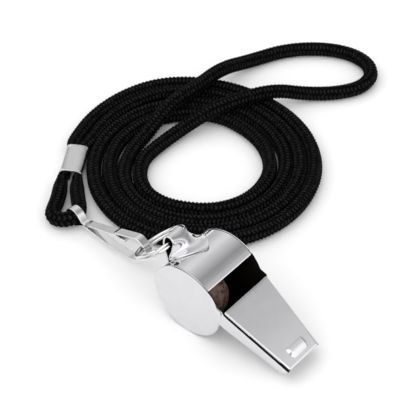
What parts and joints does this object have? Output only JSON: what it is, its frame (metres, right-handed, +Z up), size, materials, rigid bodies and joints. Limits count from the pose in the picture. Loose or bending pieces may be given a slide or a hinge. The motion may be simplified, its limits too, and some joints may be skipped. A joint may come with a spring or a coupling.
{
  "type": "pea whistle with neck lanyard",
  "caption": "Metal pea whistle with a cork ball, hung by a split ring and a flat spring clip on a braided neck cord that lies coiled beside it.",
  "frame": {"origin": "on the floor plane, in the middle of the whistle, ring and clip taken together", "axes": "+Z up; +X from the clip's eye to the mouthpiece's tip; Y along the barrel's axis, side_plate_left at -Y"},
  "size_m": [0.1075, 0.1199, 0.0226],
  "materials": {
    "chrome": "polished chrome plate",
    "nickel": "bright nickel plate on spring steel",
    "crimp": "satin nickel plate",
    "cord": "matt braided polyester",
    "cork": "natural cork"
  },
  "bodies": {
    "cord": {"crimp_ferrule": "crimp", "cord_pinch": "cord", "neck_lead": "cord", "neck_coil": "cord", "neck_loop": "cord", "bight_cord": "cord"},
    "clip": {"clip_body": "nickel"},
    "gate": {"clip_gate": "nickel"},
    "ring": {"split_ring": "nickel"},
    "whistle": {"barrel_strip": "chrome", "side_plate_left": "chrome", "side_plate_right": "chrome", "mouthpiece_cover": "chrome", "windway_plate": "chrome", "lug": "chrome"},
    "pea": {"cork_ball": "cork"}
  },
  "joints": [
    {"name": "clip_swing", "type": "hinge", "parent": "cord", "child": "clip", "pos_m": [-0.0381, 0.0015, 0.003], "axis": [-0.0929, -0.9957, 0], "range_deg": [-30, 120]},
    {"name": "gate_press", "type": "hinge", "parent": "clip", "child": "gate", "pos_m": [-0.03307, 0.00103, 0.00375], "axis": [-0.0929, -0.9957, 0], "range_deg": [-14, 0], "stiffness_Nm_per_rad": 0.05},
    {"name": "ring_swing", "type": "hinge", "parent": "clip", "child": "ring", "pos_m": [-0.01076, -0.0007, 0.01034], "axis": [-0.0929, -0.9957, 0], "range_deg": [-50, 50]},
    {"name": "whistle_swing", "type": "hinge", "parent": "ring", "child": "whistle", "pos_m": [0.00006, -0.0007, 0.01986], "axis": [0, -1, 0], "range_deg": [-25, 100]},
    {"name": "pea_roll", "type": "hinge", "parent": "whistle", "child": "pea", "pos_m": [0.0104, -0.002, 0.01065], "axis": [0, 1, 0], "continuous": true}
  ]
}
